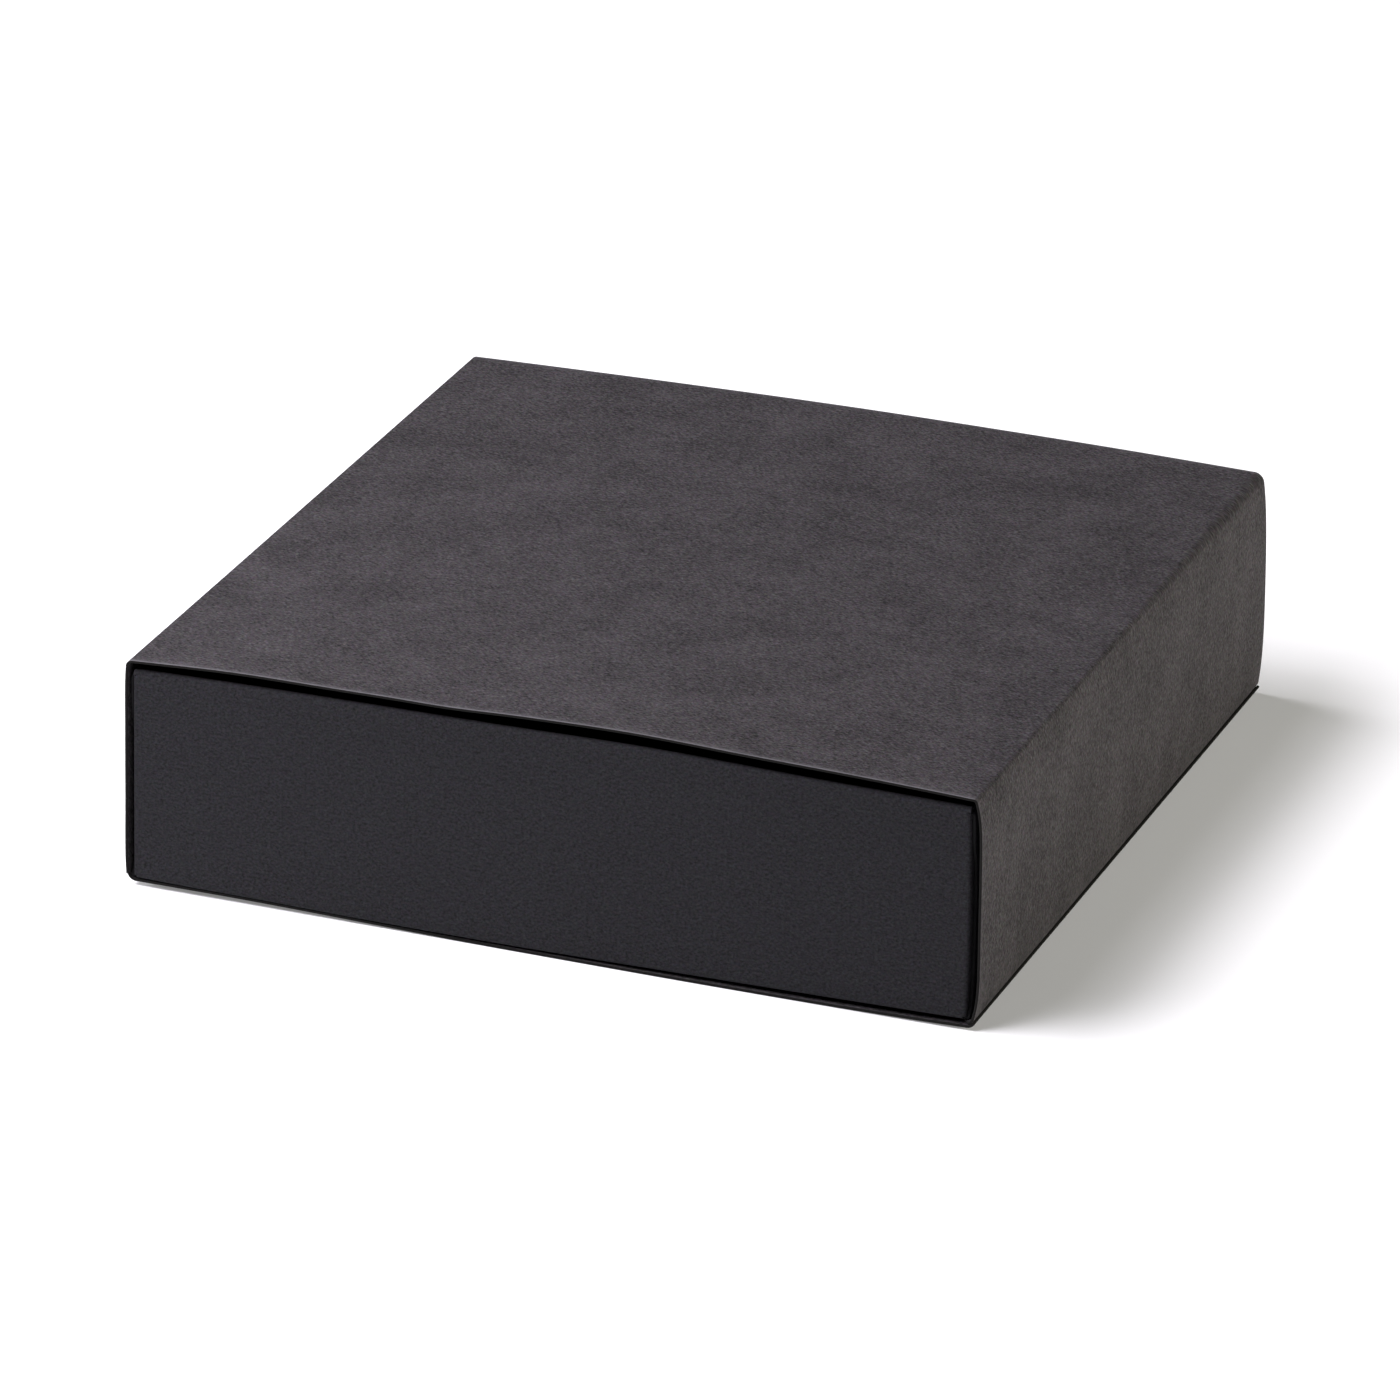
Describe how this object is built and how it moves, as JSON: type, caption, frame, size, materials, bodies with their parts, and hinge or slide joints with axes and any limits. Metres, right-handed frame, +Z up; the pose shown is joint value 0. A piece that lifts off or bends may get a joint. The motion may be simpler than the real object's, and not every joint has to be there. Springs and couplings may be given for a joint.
{
  "type": "sliding drawer box",
  "caption": "Flat square paperboard box: an open tray with double walls slides in a folded sleeve open at both ends.",
  "frame": {"origin": "middle of the footprint, on the surface that the box rests on", "axes": "+Z up, +Y from the front end of the sleeve to its back end, +X to the right seen from the front"},
  "size_m": [0.1511, 0.1516, 0.0426],
  "materials": {
    "sleeve_board": "matte uncoated charcoal board with a fine fibre grain",
    "tray_board": "matte uncoated blue-black board with a fine fibre grain",
    "adhesive": "dried clear-to-cream dispersion adhesive"
  },
  "bodies": {
    "sleeve": {"sleeve": "sleeve_board", "sleeve_seam_glue": "adhesive"},
    "tray": {"tray": "tray_board", "tray_corner_glue_front_left": "adhesive", "tray_corner_glue_front_right": "adhesive", "tray_corner_glue_back_left": "adhesive", "tray_corner_glue_back_right": "adhesive"}
  },
  "joints": [
    {"name": "tray_slide", "type": "slide", "parent": "sleeve", "child": "tray", "axis": [0, -1, 0], "range_m": [-0.155, 0.155]}
  ]
}
